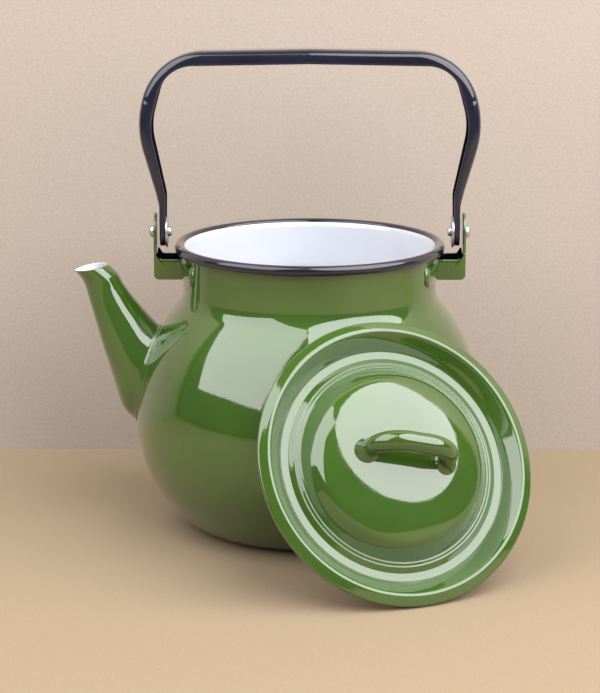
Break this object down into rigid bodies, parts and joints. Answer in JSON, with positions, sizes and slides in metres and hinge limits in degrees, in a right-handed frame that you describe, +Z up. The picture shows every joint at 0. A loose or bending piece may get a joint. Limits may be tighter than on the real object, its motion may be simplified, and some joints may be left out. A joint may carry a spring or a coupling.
{
  "type": "stovetop kettle",
  "caption": "Round-bellied enamelled stovetop kettle with an open tapered spout, a bail handle that folds on riveted ears, and a loose domed lid leaning against its front.",
  "frame": {"origin": "centre of the pot's flat base, on the table", "axes": "+Z up the pot's axis, -X towards the spout, -Y towards the front where the lid leans"},
  "size_m": [0.2815, 0.2874, 0.302],
  "materials": {
    "green_enamel": "gloss enamel, white inside the pot and spout",
    "black_enamel": "gloss enamel",
    "steel": "plain zinc-plated steel"
  },
  "bodies": {
    "kettle": {"body_shell": "green_enamel", "spout": "green_enamel", "ear_bracket_left": "green_enamel", "ear_bracket_right": "green_enamel", "pivot_rivet_left": "steel", "pivot_rivet_right": "steel", "pivot_washer_left": "steel", "pivot_washer_right": "steel"},
    "bail": {"bail_handle": "black_enamel"},
    "lid": {"lid_shell": "green_enamel", "lid_handle": "green_enamel"}
  },
  "joints": [
    {"name": "bail_swing", "type": "hinge", "parent": "kettle", "child": "bail", "pos_m": [0, 0, 0.1877], "axis": [-1, 0, 0], "range_deg": [-107, 112]},
    {"name": "lid_lift", "type": "slide", "parent": "kettle", "child": "lid", "axis": [0.329, -0.7983, 0.5045], "range_m": [0, 0.12]}
  ]
}
